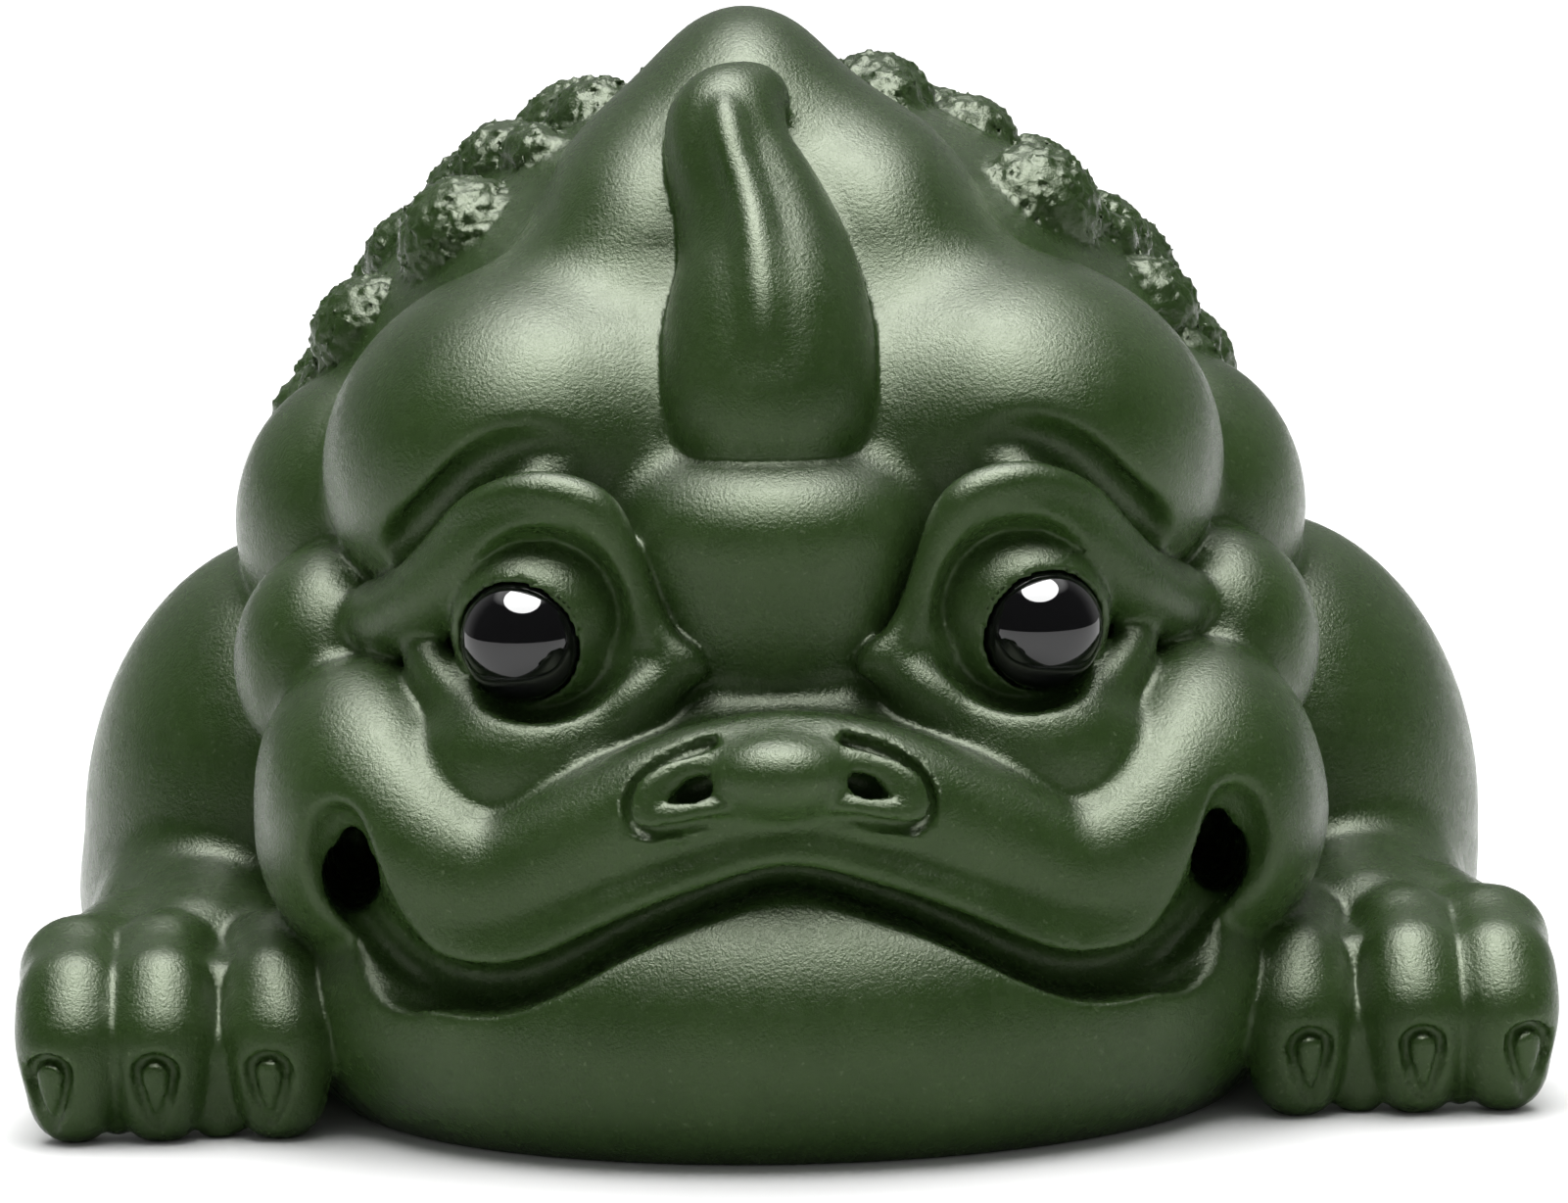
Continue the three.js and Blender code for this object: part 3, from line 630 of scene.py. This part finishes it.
def thinned(piece, triangles):
    quadsLeft = len(piece.data.polygons)
    modifier = piece.modifiers.new("thin", "DECIMATE")
    modifier.ratio = min(1, triangles / (2 * quadsLeft))
    ready = piece.evaluated_get(bpy.context.evaluated_depsgraph_get())
    mesh = bpy.data.meshes.new_from_object(ready)
    mesh.polygons.foreach_set("use_smooth", [True] * len(mesh.polygons))
    piece.modifiers.clear()
    piece.data = mesh


clayLook = {
    "colour": (0.021, 0.046, 0.0095, 1),
    "lightColour": (0.032, 0.062, 0.0165, 1),
    "speckColour": (0.1, 0.14, 0.07, 1),
    "roughness": (0.22, 0.31),
    "grain": 0.36,
    "grainDepth": 0.0002,
    "specular": 0.34,
    "shineColour": (0.84, 0.92, 0.72, 1),
    "scales": {"clouds": 90, "shine": 700, "specks": 2600, "grain": 4200},
}


def clayMaterial():
    material = bpy.data.materials.new("green_clay")
    material.use_nodes = True
    nodes, links = material.node_tree.nodes, material.node_tree.links
    shader = nodes["Principled BSDF"]
    shader.inputs["Specular IOR Level"].default_value = clayLook["specular"]
    shader.inputs["Specular Tint"].default_value = clayLook["shineColour"]
    place = nodes.new("ShaderNodeTexCoord")

    def noise(scale, detail, rough=0.6):
        node = nodes.new("ShaderNodeTexNoise")
        node.inputs["Scale"].default_value = scale
        node.inputs["Detail"].default_value = detail
        node.inputs["Roughness"].default_value = rough
        links.new(place.outputs["Object"], node.inputs["Vector"])
        return node

    def ramp(source, low, high, first, last):
        node = nodes.new("ShaderNodeMapRange")
        node.inputs["From Min"].default_value = low
        node.inputs["From Max"].default_value = high
        node.inputs["To Min"].default_value = first
        node.inputs["To Max"].default_value = last
        links.new(source, node.inputs["Value"])
        return node

    def mix(factor, first, second):
        node = nodes.new("ShaderNodeMix")
        node.data_type = "RGBA"
        links.new(factor, node.inputs["Factor"])
        for socket, colour in ((node.inputs["A"], first), (node.inputs["B"], second)):
            if hasattr(colour, "links"):
                links.new(colour, socket)
            else:
                socket.default_value = colour
        return node.outputs["Result"]

    scales = clayLook["scales"]
    clouds = ramp(noise(scales["clouds"], 4).outputs["Fac"], 0.35, 0.65, 0, 1)
    specks = ramp(noise(scales["specks"], 1).outputs["Fac"], 0.69, 0.76, 0, 0.5)
    base = mix(clouds.outputs["Result"], clayLook["colour"], clayLook["lightColour"])
    links.new(mix(specks.outputs["Result"], base, clayLook["speckColour"]), shader.inputs["Base Color"])
    shine = ramp(noise(scales["shine"], 3).outputs["Fac"], 0.35, 0.65, *clayLook["roughness"])
    links.new(shine.outputs["Result"], shader.inputs["Roughness"])
    grain = nodes.new("ShaderNodeBump")
    grain.inputs["Strength"].default_value = clayLook["grain"]
    grain.inputs["Distance"].default_value = clayLook["grainDepth"]
    links.new(noise(scales["grain"], 3, 0.7).outputs["Fac"], grain.inputs["Height"])
    links.new(grain.outputs["Normal"], shader.inputs["Normal"])
    return material


beadLook = {"colour": (0.003, 0.003, 0.0035, 1), "roughness": 0.04, "ior": 1.55}


def beadMaterial():
    material = bpy.data.materials.new("black_bead")
    material.use_nodes = True
    shader = material.node_tree.nodes["Principled BSDF"]
    shader.inputs["Base Color"].default_value = beadLook["colour"]
    shader.inputs["Roughness"].default_value = beadLook["roughness"]
    shader.inputs["IOR"].default_value = beadLook["ior"]
    return material


body = {"name": "carved_toad", "triangles": 196000}
beads = {"around": 64, "upward": 40}


# The largest skin alone, so that no pocket or crumb stays loose
def outerSkin(points, quads):
    label = np.arange(len(points))
    while True:
        lowest = label.copy()
        np.minimum.at(lowest, quads.ravel(), np.repeat(label[quads].min(1), 4))
        lowest = lowest[lowest]
        if (lowest == label).all():
            break
        label = lowest
    group = label[quads[:, 0]]
    quads = quads[group == np.bincount(group).argmax()]
    used, placed = np.unique(quads, return_inverse=True)
    print("left out", len(points) - len(used), "loose corners")
    return points[used], placed.reshape(-1, 4)


def makeBody(material):
    points, quads = outerSkin(*skinOf(fineField()))
    piece = newPiece(body["name"], toFrame(points).tolist(), quads.tolist(), material)
    thinned(piece, body["triangles"])
    print("body has", len(piece.data.polygons), "faces")
    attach(piece, "root")
    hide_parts("toad_body")
    return piece


def makeBead(node, material):
    centre, width = middleOf(node)
    points, faces = [], []
    for ring in range(1, beads["upward"]):
        tilt = math.pi * ring / beads["upward"]
        for step in range(beads["around"]):
            turn = 2 * math.pi * step / beads["around"]
            flat = math.sin(tilt) * width / 2
            points.append((centre[0] + flat * math.cos(turn), centre[1] + flat * math.sin(turn),
                           centre[2] + math.cos(tilt) * width / 2))
    top, bottom = len(points), len(points) + 1
    points += [(centre[0], centre[1], centre[2] + width / 2), (centre[0], centre[1], centre[2] - width / 2)]
    last = (beads["upward"] - 2) * beads["around"]
    for step in range(beads["around"]):
        beside = (step + 1) % beads["around"]
        faces += [(top, step, beside), (bottom, last + beside, last + step)]
        for ring in range(beads["upward"] - 2):
            start = ring * beads["around"]
            below = start + beads["around"]
            faces.append((start + step, below + step, below + beside, start + beside))
    piece = newPiece(node.replace("bead", "pearl"), points, faces, material)
    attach(piece, "root")
    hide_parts(node)
    return piece


studio = {
    "floorSize": 8.0,
    "floorColour": (0.84, 0.84, 0.84, 1),
    "floorRoughness": 0.9,
    "skylight": {"towards": (0, 0.25, 1), "wide": 28, "narrow": 36, "strength": 5},
    "backdrop": {"towards": (0, 1, 0), "wide": 55, "narrow": 80, "strength": 0.9},
    "frontStrength": 0.22,
    "skyShine": 0.3,
    "softbox": {"place": (0, -0.06, 0.49), "target": (0, 0, 0.035), "size": (0.46, 0.52), "power": 11.8},
}


# A bright round patch of sky; its angles are measured from its middle
def addPatch(nodes, links, direction, patch):
    aim = nodes.new("ShaderNodeVectorMath")
    aim.operation = "DOT_PRODUCT"
    aim.inputs[1].default_value = Vector(patch["towards"]).normalized()
    links.new(direction, aim.inputs[0])
    fade = nodes.new("ShaderNodeMapRange")
    fade.inputs["From Min"].default_value = math.cos(math.radians(patch["narrow"]))
    fade.inputs["From Max"].default_value = math.cos(math.radians(patch["wide"]))
    fade.inputs["To Max"].default_value = patch["strength"]
    links.new(aim.outputs["Value"], fade.inputs["Value"])
    return fade.outputs["Result"]


# Light from above and behind, a dark front, and white where the camera looks past the floor
def makeSky():
    world = bpy.data.worlds.new("studio")
    world.use_nodes = True
    nodes, links = world.node_tree.nodes, world.node_tree.links
    direction = nodes.new("ShaderNodeTexCoord").outputs["Generated"]
    nodes["Background"].inputs["Color"].default_value = (1, 1, 1, 1)
    strength = nodes["Background"].inputs["Strength"]
    total = nodes.new("ShaderNodeMath")
    rays = nodes.new("ShaderNodeLightPath")
    dimmed = nodes.new("ShaderNodeMapRange")
    dimmed.inputs["To Min"].default_value = 1
    dimmed.inputs["To Max"].default_value = studio["skyShine"]
    links.new(rays.outputs["Is Glossy Ray"], dimmed.inputs["Value"])
    links.new(addPatch(nodes, links, direction, studio["skylight"]), total.inputs[0])
    links.new(addPatch(nodes, links, direction, studio["backdrop"]), total.inputs[1])
    filled = nodes.new("ShaderNodeMath")
    filled.inputs[1].default_value = studio["frontStrength"]
    links.new(total.outputs[0], filled.inputs[0])
    shown = nodes.new("ShaderNodeMath")
    shown.operation = "MULTIPLY"
    links.new(filled.outputs[0], shown.inputs[0])
    links.new(dimmed.outputs["Result"], shown.inputs[1])
    seen = nodes.new("ShaderNodeMath")
    seen.operation = "MAXIMUM"
    links.new(shown.outputs[0], seen.inputs[0])
    links.new(rays.outputs["Is Camera Ray"], seen.inputs[1])
    links.new(seen.outputs[0], strength)
    bpy.context.scene.world = world


# The softbox gives the highlights alone, since the sky already lights the clay
def makeSoftbox(place, target, size, power):
    lamp = bpy.data.lights.new("softbox", "AREA")
    lamp.shape = "ELLIPSE"
    lamp.size, lamp.size_y = size
    lamp.energy = power
    light = bpy.data.objects.new("softbox", lamp)
    light.location = place
    light.rotation_euler = (Vector(target) - Vector(place)).to_track_quat("-Z", "Y").to_euler()
    light.visible_diffuse = False
    bpy.context.collection.objects.link(light)


def makeStudio():
    half = studio["floorSize"] / 2
    material = bpy.data.materials.new("pale_floor")
    material.use_nodes = True
    shader = material.node_tree.nodes["Principled BSDF"]
    shader.inputs["Base Color"].default_value = studio["floorColour"]
    shader.inputs["Roughness"].default_value = studio["floorRoughness"]
    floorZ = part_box("toad_body")[0][2]
    corners = [(x * half, y * half, floorZ) for x, y in ((-1, -1), (1, -1), (1, 1), (-1, 1))]
    newPiece("pale_floor", corners, [(0, 1, 2, 3)], material)
    makeSky()
    makeSoftbox(**studio["softbox"])


camera = {
    "distance": 0.6,
    "target": (0.0009, 0, 0.0293),
    "azimuth": -1,
    "elevation": 8,
    "roll": -1.1,
    "mmPerPixel": 0.068,
    "pixelsWide": 1601,
    "sensor": 36,
    "clip": (0.01, 20),
}


def makeCamera():
    lens = bpy.data.cameras.new("front_camera")
    shownWidth = camera["pixelsWide"] * camera["mmPerPixel"]
    lens.lens = camera["sensor"] * camera["distance"] * 1000 / shownWidth
    lens.clip_start, lens.clip_end = camera["clip"]
    eye = bpy.data.objects.new("front_camera", lens)
    across, up = math.radians(camera["azimuth"]), math.radians(camera["elevation"])
    away = Vector((math.sin(across) * math.cos(up), -math.cos(across) * math.cos(up), math.sin(up)))
    eye.location = Vector(camera["target"]) + away * camera["distance"]
    aim = (-away).to_track_quat("-Z", "Y").to_matrix() @ Matrix.Rotation(math.radians(camera["roll"]), 3, "Z")
    eye.rotation_euler = aim.to_euler()
    bpy.context.collection.objects.link(eye)
    bpy.context.scene.camera = eye


makeCamera()
makeStudio()
print("studio is ready")
makeBody(clayMaterial())
pearl = beadMaterial()
for node in ("left_eye_bead", "right_eye_bead"):
    makeBead(node, pearl)
bpy.context.scene.view_settings.view_transform = "Standard"
print("toad is ready")
